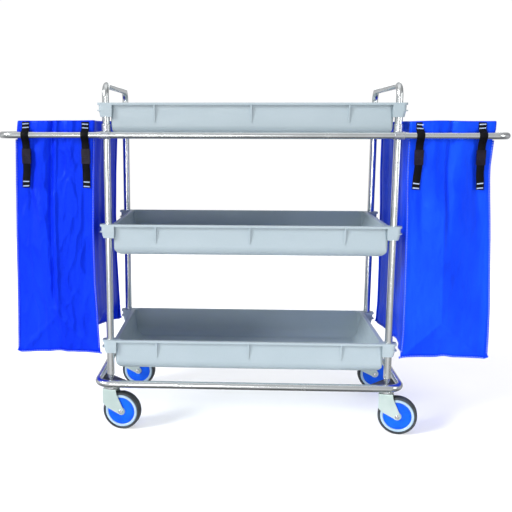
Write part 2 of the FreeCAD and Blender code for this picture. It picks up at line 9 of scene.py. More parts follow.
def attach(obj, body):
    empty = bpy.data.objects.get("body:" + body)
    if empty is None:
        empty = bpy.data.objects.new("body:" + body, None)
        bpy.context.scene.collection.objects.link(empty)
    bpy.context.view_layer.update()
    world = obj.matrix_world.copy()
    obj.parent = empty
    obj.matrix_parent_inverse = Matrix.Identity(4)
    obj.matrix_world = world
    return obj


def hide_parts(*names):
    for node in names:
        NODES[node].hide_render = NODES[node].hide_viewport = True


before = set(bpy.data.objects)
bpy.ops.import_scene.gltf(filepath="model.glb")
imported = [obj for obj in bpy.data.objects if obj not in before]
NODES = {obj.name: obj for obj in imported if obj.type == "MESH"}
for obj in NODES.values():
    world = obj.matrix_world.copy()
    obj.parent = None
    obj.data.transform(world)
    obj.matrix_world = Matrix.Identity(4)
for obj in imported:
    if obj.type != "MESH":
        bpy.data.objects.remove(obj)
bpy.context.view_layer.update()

# ---------------------------------------------------------------- camera
cam_data = bpy.data.cameras.new("camera")
cam = bpy.data.objects.new("camera", cam_data)
bpy.context.scene.collection.objects.link(cam)
pitch, yaw, roll = math.radians(9.8047), math.radians(2.6282), math.radians(0.0886)
fw = Vector((-math.sin(yaw) * math.cos(pitch), math.cos(yaw) * math.cos(pitch), -math.sin(pitch)))
rt = fw.cross(Vector((0, 0, 1))).normalized()
up = rt.cross(fw)
R = math.cos(roll) * rt + math.sin(roll) * up
U = -math.sin(roll) * rt + math.cos(roll) * up
cam.matrix_world = Matrix((
    (R.x, U.x, -fw.x, -0.04156),
    (R.y, U.y, -fw.y, -2.63608),
    (R.z, U.z, -fw.z, 1.02108),
    (0, 0, 0, 1),
))
cam_data.sensor_width = 36
cam_data.lens = 52.19
cam_data.shift_x = 0.1032
cam_data.clip_start, cam_data.clip_end = 0.05, 100
bpy.context.scene.camera = cam
bpy.context.scene.view_settings.view_transform = "Standard"


# ---------------------------------------------------------------- materials
class Tree:
    """A material and short ways to add nodes to it."""

    def __init__(self, name):
        self.m = bpy.data.materials.new(name)
        self.m.use_nodes = True
        self.t = self.m.node_tree
        self.t.nodes.clear()
        self.out = self.t.nodes.new("ShaderNodeOutputMaterial")
        self.bsdf = self.t.nodes.new("ShaderNodeBsdfPrincipled")
        self.t.links.new(self.bsdf.outputs[0], self.out.inputs[0])
        self.coord = self.t.nodes.new("ShaderNodeTexCoord").outputs["Object"]

    def link(self, a, b):
        self.t.links.new(a, b)

    def mapped(self, scale=(1, 1, 1), rot=(0, 0, 0)):
        n = self.t.nodes.new("ShaderNodeMapping")
        n.inputs["Scale"].default_value = scale
        n.inputs["Rotation"].default_value = rot
        self.link(self.coord, n.inputs["Vector"])
        return n.outputs[0]

    def noise(self, scale, detail=3.0, rough=0.5, vec=None, distortion=0.0):
        n = self.t.nodes.new("ShaderNodeTexNoise")
        n.inputs["Scale"].default_value = scale
        n.inputs["Detail"].default_value = detail
        n.inputs["Roughness"].default_value = rough
        n.inputs["Distortion"].default_value = distortion
        self.link(vec or self.coord, n.inputs["Vector"])
        return n.outputs["Fac"]

    def voronoi(self, scale, vec=None, feature="F1"):
        n = self.t.nodes.new("ShaderNodeTexVoronoi")
        n.feature = feature
        n.inputs["Scale"].default_value = scale
        self.link(vec or self.coord, n.inputs["Vector"])
        return n.outputs["Distance"]

    def wave(self, scale, direction, vec=None, distortion=0.0, profile="SIN"):
        n = self.t.nodes.new("ShaderNodeTexWave")
        n.bands_direction = direction
        n.wave_profile = profile
        n.inputs["Scale"].default_value = scale
        n.inputs["Distortion"].default_value = distortion
        self.link(vec or self.coord, n.inputs["Vector"])
        return n.outputs["Fac"]

    def math(self, op, a, b=None, clamp=False):
        n = self.t.nodes.new("ShaderNodeMath")
        n.operation = op
        n.use_clamp = clamp
        for i, v in enumerate((a, b)):
            if v is None:
                continue
            if isinstance(v, (int, float)):
                n.inputs[i].default_value = v
            else:
                self.link(v, n.inputs[i])
        return n.outputs[0]

    def ramp(self, fac, stops):
        n = self.t.nodes.new("ShaderNodeValToRGB")
        el = n.color_ramp.elements
        while len(el) > 1:
            el.remove(el[-1])
        el[0].position, el[0].color = stops[0][0], (*stops[0][1], 1)
        for p, c in stops[1:]:
            e = el.new(p)
            e.color = (*c, 1)
        self.link(fac, n.inputs[0])
        return n.outputs[0]

    def span(self, fac, lo, hi, a=0.3, b=0.7):
        n = self.t.nodes.new("ShaderNodeMapRange")
        n.inputs["From Min"].default_value = a
        n.inputs["From Max"].default_value = b
        n.inputs["To Min"].default_value = lo
        n.inputs["To Max"].default_value = hi
        self.link(fac, n.inputs["Value"])
        return n.outputs[0]

    def mix(self, fac, a, b, blend="MIX"):
        n = self.t.nodes.new("ShaderNodeMix")
        n.data_type = "RGBA"
        n.blend_type = blend
        for s, v in ((n.inputs[0], fac), (n.inputs[6], a), (n.inputs[7], b)):
            if isinstance(v, (int, float)):
                s.default_value = v
            elif isinstance(v, tuple):
                s.default_value = (*v, 1)
            else:
                self.link(v, s)
        return n.outputs[2]

    def axis(self, which):
        n = self.t.nodes.new("ShaderNodeSeparateXYZ")
        self.link(self.coord, n.inputs[0])
        return n.outputs[which]

    def color(self, s):
        self.link(s, self.bsdf.inputs["Base Color"])

    def rough(self, s):
        self.link(s, self.bsdf.inputs["Roughness"])

    def bump(self, height, strength, distance):
        n = self.t.nodes.new("ShaderNodeBump")
        n.inputs["Strength"].default_value = strength
        n.inputs["Distance"].default_value = distance
        self.link(height, n.inputs["Height"])
        self.link(n.outputs[0], self.bsdf.inputs["Normal"])

    def set(self, **kw):
        for k, v in kw.items():
            self.bsdf.inputs[k.replace("_", " ")].default_value = v
        return self


def mat_chrome():
    t = Tree("chrome_tube")
    t.set(Metallic=1.0)
    n = t.noise(9, 4, 0.6)
    t.color(t.ramp(n, [(0.3, (0.70, 0.74, 0.735)), (0.55, (0.77, 0.80, 0.795)), (0.75, (0.83, 0.85, 0.855))]))
    fine = t.noise(420, 3, 0.6)
    smear = t.noise(26, 3, 0.6, t.mapped((1, 1, 0.25)))
    t.rough(t.math("ADD", t.span(smear, 0.19, 0.26), t.span(fine, 0.0, 0.03)))
    t.bump(t.math("MULTIPLY", fine, 0.25), 0.008, 0.0002)
    return t.m


def mat_gusset():
    t = Tree("gusset_steel")
    t.set(Metallic=0.75)
    n = t.noise(14, 4, 0.6)
    t.color(t.ramp(n, [(0.3, (0.045, 0.050, 0.062)), (0.7, (0.090, 0.10, 0.125))]))
    t.rough(t.span(t.noise(60, 3), 0.28, 0.5))
    t.bump(t.noise(500, 2), 0.12, 0.0004)
    return t.m


def mat_clamp():
    t = Tree("clamp_metal")
    t.set(Metallic=0.9)
    n = t.noise(22, 4, 0.6)
    t.color(t.ramp(n, [(0.3, (0.50, 0.53, 0.56)), (0.7, (0.68, 0.71, 0.74))]))
    t.rough(t.span(t.noise(80, 3), 0.2, 0.36))
    t.bump(t.noise(700, 2), 0.12, 0.0004)
    return t.m


def mat_tray():
    t = Tree("tray_plastic")
    t.set(Specular_IOR_Level=0.45)
    big = t.noise(3.2, 3, 0.55)
    speck = t.noise(260, 2, 0.7)
    base = t.ramp(big, [(0.3, (0.345, 0.425, 0.465)), (0.7, (0.385, 0.462, 0.502))])
    t.color(t.mix(t.span(speck, 0.0, 0.22, 0.45, 0.75), base, (0.44, 0.51, 0.545)))
    scuff = t.noise(38, 4, 0.65, t.mapped((0.35, 0.35, 1.6)))
    t.rough(t.span(scuff, 0.36, 0.52, 0.35, 0.7))
    grain = t.voronoi(520)
    t.bump(t.math("ADD", t.math("MULTIPLY", grain, 0.5), speck), 0.16, 0.0005)
    return t.m


def mat_bag(name, dark, light, seed):
    t = Tree(name)
    t.set(Specular_IOR_Level=0.38, Specular_Tint=(0.16, 0.55, 1.0, 1.0), Metallic=0.20, Sheen_Weight=0.10, Sheen_Roughness=0.35, Sheen_Tint=(0.08, 0.35, 1.0, 1.0))
    vec = t.mapped((1, 1, 0.45))
    vec.node.inputs["Location"].default_value = (seed, seed * 0.7, 0)
    cloud = t.noise(9, 4, 0.55, vec)
    fine = t.noise(240, 2, 0.6)
    t.color(t.mix(t.span(fine, 0.0, 0.25), t.ramp(cloud, [(0.15, dark), (0.85, light)]), (0.004, 0.045, 0.92)))
    t.rough(t.math("ADD", t.span(cloud, 0.30, 0.44), t.span(fine, 0.0, 0.06)))
    w = t.math("ADD", t.math("ADD", t.wave(150, "X"), t.wave(150, "Y")), t.wave(150, "Z"))
    crumple = t.math("MULTIPLY", t.noise(34, 5, 0.62, vec, 0.4), 5.0)
    t.bump(t.math("ADD", t.math("MULTIPLY", w, 0.18), crumple), 0.32, 0.0018)
    return t.m


def mat_thread():
    t = Tree("stitch_thread")
    t.set(Sheen_Weight=0.2)
    t.color(t.ramp(t.noise(300, 2), [(0.3, (0.34, 0.46, 0.74)), (0.7, (0.58, 0.68, 0.86))]))
    t.rough(t.span(t.noise(500, 2), 0.55, 0.8))
    t.bump(t.wave(900, "DIAGONAL"), 0.3, 0.0003)
    return t.m


def mat_webbing():
    t = Tree("webbing")
    t.set(Specular_IOR_Level=0.12, Sheen_Weight=0.01, Sheen_Roughness=0.4)
    rib = t.wave(95, "Z")
    twill = t.wave(120, "DIAGONAL")
    n = t.noise(60, 3)
    t.color(t.mix(t.span(t.math("MULTIPLY", rib, twill), 0.0, 0.7, 0.1, 0.9),
                  t.ramp(n, [(0.3, (0.0012, 0.0012, 0.002)), (0.7, (0.003, 0.003, 0.0045))]), (0.006, 0.006, 0.009)))
    t.rough(t.span(n, 0.5, 0.7))
    t.bump(t.math("ADD", rib, t.math("MULTIPLY", twill, 0.6)), 0.55, 0.0006)
    return t.m


def mat_buckle():
    t = Tree("buckle_plastic")
    t.set(Specular_IOR_Level=0.16)
    n = t.noise(40, 3)
    t.color(t.ramp(n, [(0.3, (0.007, 0.005, 0.012)), (0.7, (0.016, 0.012, 0.024))]))
    t.rough(t.span(t.noise(120, 3), 0.34, 0.52))
    t.bump(t.noise(600, 2), 0.25, 0.0003)
    return t.m


def mat_zinc():
    t = Tree("zinc_fittings")
    t.set(Metallic=0.95)
    v = t.voronoi(160)
    t.color(t.ramp(v, [(0.0, (0.58, 0.60, 0.62)), (0.6, (0.80, 0.82, 0.83))]))
    t.rough(t.span(t.noise(90, 3), 0.16, 0.34))
    t.bump(t.noise(500, 2), 0.1, 0.0003)
    return t.m


def mat_fork():
    t = Tree("fork_steel")
    t.set(Metallic=0.45)
    n = t.noise(18, 3, 0.5)
    t.color(t.ramp(n, [(0.3, (0.47, 0.585, 0.555)), (0.7, (0.56, 0.66, 0.63))]))
    t.rough(t.span(t.noise(70, 3), 0.30, 0.40))
    t.bump(t.noise(260, 2), 0.02, 0.0003)
    return t.m


def mat_rim():
    t = Tree("rim_plastic")
    t.color(t.ramp(t.noise(30, 4), [(0.3, (0.33, 0.46, 0.57)), (0.7, (0.41, 0.54, 0.65))]))
    t.rough(t.span(t.noise(120, 3), 0.3, 0.46))
    t.bump(t.noise(500, 2), 0.12, 0.0004)
    return t.m


def mat_hub():
    t = Tree("hub_cover_plastic")
    t.set(Specular_IOR_Level=0.16)
    t.color(t.ramp(t.noise(26, 4), [(0.3, (0.0006, 0.072, 0.64)), (0.7, (0.0015, 0.120, 0.80))]))
    t.rough(t.span(t.noise(120, 3), 0.26, 0.4))
    t.bump(t.noise(500, 2), 0.12, 0.0004)
    return t.m


def mat_tyre():
    t = Tree("tyre_rubber")
    t.set(Specular_IOR_Level=0.35)
    dust = t.noise(24, 4, 0.65)
    t.color(t.ramp(dust, [(0.35, (0.030, 0.036, 0.042)), (0.62, (0.060, 0.070, 0.076)), (0.8, (0.12, 0.135, 0.14))]))
    t.rough(t.span(t.noise(150, 3), 0.5, 0.72))
    t.bump(t.math("ADD", t.noise(420, 3), t.math("MULTIPLY", t.voronoi(240), 0.6)), 0.3, 0.0006)
    return t.m


M = {
    "chrome_tube": mat_chrome(),
    "gusset_steel": mat_gusset(),
    "clamp_metal": mat_clamp(),
    "tray_plastic": mat_tray(),
    "bag_left": mat_bag("bag_fabric_left", (0.0006, 0.007, 0.60), (0.004, 0.042, 0.92), 0.0),
    # the right bag is the same fabric as the left but lighter all over: a painted highlight for the azure sheen its
    # front catches
    "bag_right": mat_bag("bag_fabric_right_painted_highlight", (0.0010, 0.022, 0.70), (0.008, 0.088, 0.96), 3.7),
    "webbing": mat_webbing(),
    "buckle_plastic": mat_buckle(),
    "zinc_fittings": mat_zinc(),
    "fork_steel": mat_fork(),
    "rim_plastic": mat_rim(),
    "hub_cover_plastic": mat_hub(),
    "tyre_rubber": mat_tyre(),
    "thread": mat_thread(),
}


def material_of(node):
    if node.startswith(("base_loop", "post_front", "post_rear", "handle_frame", "rail_front", "rail_rear", "rail_bow")):
        return "chrome_tube"
    if node == "corner_gussets":
        return "gusset_steel"
    if node == "rail_clamps":
        return "clamp_metal"
    if node in ("tray_top", "tray_middle", "tray_bottom"):
        return "tray_plastic"
    if node.startswith("buckle"):
        return "buckle_plastic"
    if node.startswith("fork"):
        return "fork_steel"
    if node.startswith("wheel_rim"):
        return "rim_plastic"
    if node.startswith("hub_covers"):
        return "hub_cover_plastic"
    if node.startswith("tyre"):
        return "tyre_rubber"
    if node.startswith("straps"):
        return "webbing"
    if node == "bag_left":
        return "bag_left"
    if node == "bag_right":
        return "bag_right"
    return "zinc_fittings"


for name, o in NODES.items():
    o.data.materials.clear()
    o.data.materials.append(M[material_of(name)])


# ---------------------------------------------------------------- mesh helpers
def piece(name, verts, faces, material, smooth=True, body="cart_frame"):
    me = bpy.data.meshes.new(name)
    me.from_pydata([tuple(map(float, v)) for v in verts], [], [tuple(map(int, f)) for f in faces])
    me.update()
    bm = bmesh.new()
    bm.from_mesh(me)
    bmesh.ops.recalc_face_normals(bm, faces=bm.faces[:])
    bm.to_mesh(me)
    bm.free()
    for p in me.polygons:
        p.use_smooth = smooth
    o = bpy.data.objects.new(name, me)
    bpy.context.scene.collection.objects.link(o)
    me.materials.append(M[material])
    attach(o, body)
    return o


class Soup:
    """Collects closed bodies into one mesh."""

    def __init__(self):
        self.v, self.f = [], []

    def add(self, verts, faces):
        k = len(self.v)
        self.v.extend(verts)
        self.f.extend([tuple(i + k for i in f) for f in faces])

    def strip(self, pts, side, normal, width, thick, seg=2):
        """A flat band along pts: side and normal are unit vectors at each point, width and thick full sizes."""
        pts, side, normal = np.array(pts, float), np.array(side, float), np.array(normal, float)
        n = len(pts)
        hw, ht = width / 2, thick / 2
        b = min(ht * 0.8, hw * 0.5)
        sec = [(-hw, -ht + b), (-hw + b, -ht), (hw - b, -ht), (hw, -ht + b), (hw, ht - b), (hw - b, ht), (-hw + b, ht), (-hw, ht - b)]
        m = len(sec)
        verts = []
        for i in range(n):
            for a, c in sec:
                verts.append(pts[i] + side[i] * a + normal[i] * c)
        faces = []
        for i in range(n - 1):
            for j in range(m):
                faces.append((i * m + j, i * m + (j + 1) % m, (i + 1) * m + (j + 1) % m, (i + 1) * m + j))
        faces.append(tuple(range(m))[::-1])
        faces.append(tuple((n - 1) * m + j for j in range(m)))
        self.add(verts, faces)

    def thread(self, p, q, normal, r, flat=0.7):
        """One stitch from p to q: a short flattened thread with rounded ends."""
        p, q, normal = Vector(p), Vector(q), Vector(normal).normalized()
        d = (q - p)
        t = d.normalized()
        s = t.cross(normal).normalized()
        verts = [p]
        for f in (0.16, 0.5, 0.84):
            c = p + d * f
            k = r * (1.0 if f == 0.5 else 0.82)
            for j in range(6):
                a = math.pi * j / 3
                verts.append(c + s * (k * math.cos(a)) + normal * (k * flat * math.sin(a) + (r * 0.25 if f == 0.5 else 0)))
        verts.append(q)
        faces = []
        for j in range(6):
            faces.append((0, 1 + (j + 1) % 6, 1 + j))
            for k in (0, 1):
                faces.append((1 + k * 6 + j, 1 + k * 6 + (j + 1) % 6, 7 + k * 6 + (j + 1) % 6, 7 + k * 6 + j))
            faces.append((13 + j, 13 + (j + 1) % 6, 19))
        self.add(verts, faces)


def smooth(x, a, b):
    t = np.clip((x - a) / (b - a), 0, 1)
    return t * t * (3 - 2 * t)


def softmin(vals, k):
    v = np.array(np.broadcast_arrays(*vals), float)
    return -np.log(np.exp(-k * v).sum(0)) / k


def rough_noise(x, y, z, seed):
    return noise.noise(Vector((x + seed * 13.7, y - seed * 7.1, z + seed * 3.3)))


# ---------------------------------------------------------------- bags
Z_TOP, Z_BOT = 1.0395, 0.2755
FLANGE = 0.0065
# height, and how far the edge of the front panel stands from the cart's middle there
OUT = {
    1: [(0.26, .7915), (0.356, .7915), (0.442, .790), (0.570, .782), (0.736, .772), (0.858, .763), (0.904, .7615), (0.982, .7665), (1.011, .7735), (1.045, .7745)],
    -1: [(0.26, .783), (0.308, .7815), (0.517, .776), (0.686, .772), (0.851, .768), (0.981, .763), (1.010, .7612), (1.045, .7572)],
}
INN = {
    1: [(0.26, .5045), (0.352, .509), (0.481, .5085), (0.609, .506), (0.734, .504), (0.857, .499), (0.98, .4985), (1.045, .4985)],
    -1: [(0.26, .4995), (0.348, .504), (0.520, .5115), (0.688, .5125), (0.853, .5085), (0.981, .5025), (1.045, .4985)],
}


def edge(table, z):
    zs, xs = zip(*table)
    return np.interp(z, zs, xs)


def front_relief(side, a, z):
    """How far the front panel stands out, in metres: a pressed crease up the middle that forks to the bottom corners, and soft folds under the rail."""
    if side == 1:
        ac = 0.430 + 0.006 * np.sin(9 * z)
        aL, aR, za, H = 0.03, 0.88, 0.392, 0.0275
    else:
        ac = 0.500 + 0.010 * np.sin(8 * z + 1.0)
        aL, aR, za, H = 0.08, 0.95, 0.400, 0.0160
    zb = 0.279
    h1 = H * (a - aL) / (ac - aL)
    h2 = H * (aR - a) / (aR - ac)
    h3 = H * (z - zb) / (za - zb)
    roof = np.maximum(softmin([h1, h2, h3], 2600), -0.0015)
    two = np.sort(np.array(np.broadcast_arrays(h1, h2, h3)), axis=0)
    roof = roof + 0.0016 * np.exp(-((two[1] - two[0]) / 0.0013) ** 2) * (two[0] > 0)  # the pressed line itself stands proud
    roof = roof * (0.30 + 0.70 * (1 - smooth(z, 0.70, 0.93)))
    if side == 1:
        # the right flank falls away sharply beside the crease, higher up
        wave = -0.0085 * np.exp(-((a - ac - 0.055) / 0.040) ** 2) * smooth(z, 0.58, 0.80)
        wave += 0.0060 * np.exp(-((a - 0.30) / 0.075) ** 2) * smooth(z, 0.60, 0.86) * (1 - 0.5 * smooth(z, 0.92, 0.99))
        wave += 0.0055 * np.exp(-((a - 0.64) / 0.09) ** 2) * smooth(z, 0.62, 0.90)
        wave += -0.0060 * np.exp(-((a - 0.86) / 0.05) ** 2) * smooth(z, 0.60, 0.80)
        wave += -0.0045 * np.exp(-((a - 0.17) / 0.045) ** 2) * smooth(z, 0.50, 0.72) * (1 - smooth(z, 0.80, 0.9))
    else:
        # a sharp upright tuck right of the middle
        reach = smooth(z, 0.40, 0.52)
        wave = -0.0095 * np.exp(-((a - ac - 0.045) / 0.030) ** 2) * reach
        wave += 0.0040 * np.exp(-((a - ac + 0.015) / 0.022) ** 2) * reach
        wave += 0.0050 * np.exp(-((a - 0.30) / 0.085) ** 2) * smooth(z, 0.58, 0.86)
        wave += 0.0070 * np.exp(-((a - 0.68) / 0.06) ** 2) * smooth(z, 0.52, 0.74) * (1 - 0.5 * smooth(z, 0.92, 0.99))
        wave += -0.0055 * np.exp(-((a - 0.82) / 0.045) ** 2) * smooth(z, 0.60, 0.78) * (1 - smooth(z, 0.9, 1.0) * 0.5)
        wave += -0.0045 * np.exp(-((a - 0.10) / 0.05) ** 2) * smooth(z, 0.45, 0.6) * (1 - smooth(z, 0.78, 0.9))
    hang = -0.0035 * np.sin(np.pi * a) * (1 - smooth(z, 0.9, 1.0))
    return roof + wave + hang


def crumple(side, a, z):
    """Small creases in the front panel, fewer where the straps lie."""
    out = np.zeros(len(a))
    for i, aa in enumerate(a):
        p = Vector((aa * 5.5 + side * 3.1, z * 6.5, 0.7))
        w = noise.noise(p + Vector((0, 0, 4.0))) * 0.6
        r = 1 - abs(noise.noise(p * 1.7 + Vector((w, w * 0.5, side * 2.0))))
        out[i] = (max(r, 0.0) ** 6 - 0.35) * 0.0030 + noise.noise(p * 2.6) * 0.0010
    near = np.minimum(np.abs(a - 0.12), np.abs(a - 0.835))
    return out * (0.45 if side == 1 else 1.15) * (1 - 0.8 * (1 - smooth(near, 0.05, 0.12)) * float(smooth(z, 0.78, 0.84)))


def back_relief(side, a, z):
    ac, H, za, zb = 0.52, 0.010, 0.39, 0.279
    roof = np.maximum(softmin([H * (a - 0.06) / (ac - 0.06), H * (0.94 - a) / (0.94 - ac), H * (z - zb) / (za - zb)], 2400), -0.0015)
    roof = roof * (0.3 + 0.7 * (1 - smooth(z, 0.80, 0.96)))
    wave = -0.0055 * np.exp(-((a - 0.5) / 0.06) ** 2) * smooth(z, 0.66, 0.86)
    wave += 0.0045 * np.exp(-((a - 0.28) / 0.09) ** 2) * smooth(z, 0.6, 0.88)
    wave += 0.0045 * np.exp(-((a - 0.70) / 0.09) ** 2) * smooth(z, 0.6, 0.88)
    return roof + wave - 0.0035 * np.sin(np.pi * a) * (1 - smooth(z, 0.9, 1.0))


def side_relief(side, outer, b, z):
    """How far a side panel stands in, in metres: it hangs slack between its seams, in long upright folds."""
    mid = 1 - (2 * b - 1) ** 2
    slack = 0.011 * mid * (0.35 + 0.65 * (1 - smooth(z, 0.86, 1.0)))
    seed = 1.7 if side == 1 else 0.4
    if outer:
        seed += 2.2
    f = 0.0070 * np.sin(2 * np.pi * (b * 2.7 + 0.10 * seed)) + 0.0032 * np.sin(2 * np.pi * (b * 5.3 + 0.31 * seed) + 1.6 * z)
    folds = f * mid ** 0.6 * (0.45 + 0.55 * smooth(z, 0.34, 0.75))
    # the pressed V of a gusset that was folded flat
    yy = np.abs(2 * b - 1)
    if side == -1 and not outer:
        depth = 0.100 * (1 - smooth(z, 0.276, 0.372)) * np.clip(1 - yy * (0.86 + 0.14 * smooth(z, 0.275, 0.36)), 0, 1) ** 0.85
    else:
        depth = 0.016 * (1 - smooth(z, 0.276, 0.40)) * np.clip(1 - yy, 0, 1)
    return slack + folds + depth


NF, NS, NZ = 66, 56, 150


def bag_surface(side):
    """The sewn shell of one bag as rings of points, from the top down to the bottom seam."""
    t = np.linspace(0, 1, NZ)
    zs = Z_TOP + (Z_BOT - Z_TOP) * t
    af = (np.arange(NF) / NF)
    bs = (np.arange(NS) / NS)
    rings = np.zeros((NZ, 2 * NF + 2 * NS, 3))
    for i, z in enumerate(zs):
        xi, xo = edge(INN[side], z) + FLANGE, edge(OUT[side], z) - FLANGE
        yf = -0.2248 + 0.0012 * math.sin(z * 17)
        yb = 0.2248
        taper_f = np.minimum(1, np.minimum(af, 1 - af) / 0.055)
        a = af
        rf = (front_relief(side, a, z) + crumple(side, a, z)) * taper_f
        j = 0
        for k in range(NF):  # front, from inboard to outboard
            x = xi + (xo - xi) * a[k]
            w = rough_noise(x * 9, 0, z * 5, 1 + side) * 0.0016 + rough_noise(x * 26, 0, z * 14, 4 + side) * 0.0007
            rings[i, j] = (side * x, yf - rf[k] - w * taper_f[k], z)
            j += 1
        b = bs
        taper_s = np.minimum(1, np.minimum(bs, 1 - bs) / 0.04)
        ro = side_relief(side, True, b, z) * taper_s
        for k in range(NS):  # outboard side, from front to back
            y = yf + (yb - yf) * b[k]
            w = rough_noise(5, y * 8, z * 5, 7 + side) * 0.0022 + rough_noise(9, y * 24, z * 15, 2 + side) * 0.0008
            rings[i, j] = (side * (xo - ro[k] + w * taper_s[k]), y, z)
            j += 1
        rb = back_relief(side, 1 - af, z) * taper_f
        for k in range(NF):  # back, from outboard to inboard
            x = xo + (xi - xo) * af[k]
            w = rough_noise(x * 9, 3, z * 5, 11 + side) * 0.0016 + rough_noise(x * 26, 3, z * 14, 14 + side) * 0.0007
            rings[i, j] = (side * x, yb + rb[k] + w * taper_f[k], z)
            j += 1
        ri = side_relief(side, False, 1 - bs, z) * taper_s
        for k in range(NS):  # inboard side, from back to front
            y = yb + (yf - yb) * bs[k]
            w = rough_noise(1, y * 8, z * 5, 17 + side) * 0.0022 + rough_noise(2, y * 24, z * 15, 12 + side) * 0.0008
            rings[i, j] = (side * (xi + ri[k] + w * taper_s[k]), y, z)
            j += 1
    # the mouth is a little wavy, and the bottom seam is drawn up in its middle
    n = rings.shape[1]
    for j in range(n):
        x, y = rings[0, j, 0], rings[0, j, 1]
        dz = rough_noise(x * 7, y * 7, 0.3, 21 + side) * 0.0035
        fade = smooth(zs, 0.955, 1.04)
        rings[:, j, 2] += dz * fade
    for j in range(n):
        if j < NF or (NF + NS) <= j < (2 * NF + NS):
            a = (j if j < NF else j - NF - NS) / NF
            lift = 0.004 * math.exp(-((a - 0.5) / 0.07) ** 2) - 0.003 * (2 * a - 1) ** 4
            rings[:, j, 2] += lift * (1 - smooth(zs, 0.276, 0.33))
    return rings


def make_bag(side):
    name = "bag_right" if side == 1 else "bag_left"
    rings = bag_surface(side)
    n = rings.shape[1]
    verts = [tuple(p) for p in rings.reshape(-1, 3)]
    faces = []
    for i in range(NZ - 1):
        for j in range(n):
            k = (j + 1) % n
            faces.append((i * n + j, i * n + k, (i + 1) * n + k, (i + 1) * n + j))
    # bottom: a patch between the four lowest edges
    last = (NZ - 1) * n
    ring = rings[-1]
    F = [ring[j] for j in range(NF + 1)]
    O = [ring[NF + j] for j in range(NS + 1)]
    B = [ring[NF + NS + j] for j in range(NF + 1)][::-1]
    I = [ring[(2 * NF + NS + j) % n] for j in range(NS + 1)][::-1]
    index = {}
    for u in range(NF + 1):
        for v in range(NS + 1):
            if v == 0:
                index[u, v] = last + u
            elif u == NF:
                index[u, v] = last + NF + v
            elif v == NS:
                index[u, v] = last + NF + NS + (NF - u)
            elif u == 0:
                index[u, v] = last + (2 * NF + NS + (NS - v)) % n
            else:
                s, t = u / NF, v / NS
                p = (F[u] * (1 - t) + B[u] * t) + (I[v] * (1 - s) + O[v] * s) - (
                    F[0] * (1 - s) * (1 - t) + F[NF] * s * (1 - t) + B[0] * (1 - s) * t + B[NF] * s * t)
                p = p.copy()
                crease = 0.006 * max(0, 1 - abs(s - 0.5) * 7) * math.sin(math.pi * t)
                p[2] += crease + 0.004 * math.sin(math.pi * s) * math.sin(math.pi * t) + 0.002 * rough_noise(p[0] * 14, p[1] * 14, 0, 9)
                index[u, v] = len(verts)
                verts.append(tuple(p))
    for u in range(NF):
        for v in range(NS):
            faces.append((index[u, v], index[u, v + 1], index[u + 1, v + 1], index[u + 1, v]))
    shell = piece(name + "_shell", verts, faces, name)
    sol = shell.modifiers.new("cloth_thickness", "SOLIDIFY")
    sol.thickness, sol.offset = 0.0014, 0.0
    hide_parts(name)

    # cuff: the hem turned over at the mouth
    top = rings[0]
    idx = list(range(n)) + [0]
    centre = top.mean(0)
    rows = [(1.0, -0.0455), (1.0, -0.0225), (1.0, -0.004), (0.72, 0.0012), (0.0, 0.0026), (-0.72, 0.0012), (-1.0, -0.004), (-1.0, -0.0225), (-1.0, -0.038)]
    cv, cf = [], []
    for r, (o_, dz) in enumerate(rows):
        for j in range(n):
            p = top[j].copy()
            prev, nxt = top[(j - 1) % n], top[(j + 1) % n]
            tan = nxt - prev
            nrm = np.array([tan[1], -tan[0], 0.0])
            nrm /= max(1e-9, np.linalg.norm(nrm))
            if np.dot(nrm, p - centre) < 0:
                nrm = -nrm
            # follows the shell as it goes down
            f = np.clip((-dz) / (rings[0, j, 2] - rings[-1, j, 2]) * (NZ - 1), 0, NZ - 1.001)
            i0 = int(f)
            q = rings[i0, j] * (1 - (f - i0)) + rings[i0 + 1, j] * (f - i0)
            q = q.copy()
            if dz > 0:
                q[2] += dz
            puff = 0.0019 if o_ > 0 else 0.0017
            ripple = 0.0006 * rough_noise(q[0] * 30, q[1] * 30, q[2] * 18, 30 + side) if abs(o_) == 1 else 0
            q[:2] += nrm[:2] * (o_ * puff + ripple)
            cv.append(tuple(q))
    m = len(rows)
    for r in range(m - 1):
        for j in range(n):
            k = (j + 1) % n
            cf.append((r * n + j, r * n + k, (r + 1) * n + k, (r + 1) * n + j))
    cuff = piece(name + "_cuff", cv, cf, name)
    sol = cuff.modifiers.new("cloth_thickness", "SOLIDIFY")
    sol.thickness, sol.offset = 0.0010, 1.0

    # seam flanges down the four corners, and along the bottom
    soup, stitches = Soup(), Soup()
    corners = {0: (-1, -1), NF: (1, -1), NF + NS: (1, 1), 2 * NF + NS: (-1, 1)}
    for j, (out_, yy) in corners.items():
        rows_ = [i for i in range(NZ) if rings[i, j, 2] < 0.988]
        pts = rings[rows_, j]
        d = np.array([side * out_ * 0.97, yy * 0.10, 0.0])
        d /= np.linalg.norm(d)
        wav = np.array([rough_noise(j, p[2] * 22, 0, 5) * 0.0012 for p in pts])
        mid = pts + d * (FLANGE / 2 - 0.0004) + np.array([0, 1, 0]) * wav[:, None]
        nrm = np.array([0, yy, 0.0])
        nrm = nrm - d * np.dot(nrm, d)
        nrm /= np.linalg.norm(nrm)
        soup.strip(mid, [d] * len(mid), [nrm] * len(mid), FLANGE + 0.0006, 0.0024)
        # overlock thread, a zigzag over the flange's edge
        z0, z1 = mid[0, 2] - 0.004, mid[-1, 2] + 0.004
        step = 0.0085
        cnt = int((z0 - z1) / step)
        zz = mid[:, 2][::-1]

        def at(z):
            return np.array([np.interp(z, zz, mid[:, c][::-1]) for c in range(3)])
        for k in range(cnt):
            za, zb_ = z0 - k * step, z0 - k * step - 0.0042
            ha, hb = 0.0012, -0.0016
            off = nrm * 0.0016
            stitches.thread(at(za) + d * ha + off, at(zb_) + d * hb + off, nrm, 0.00085)
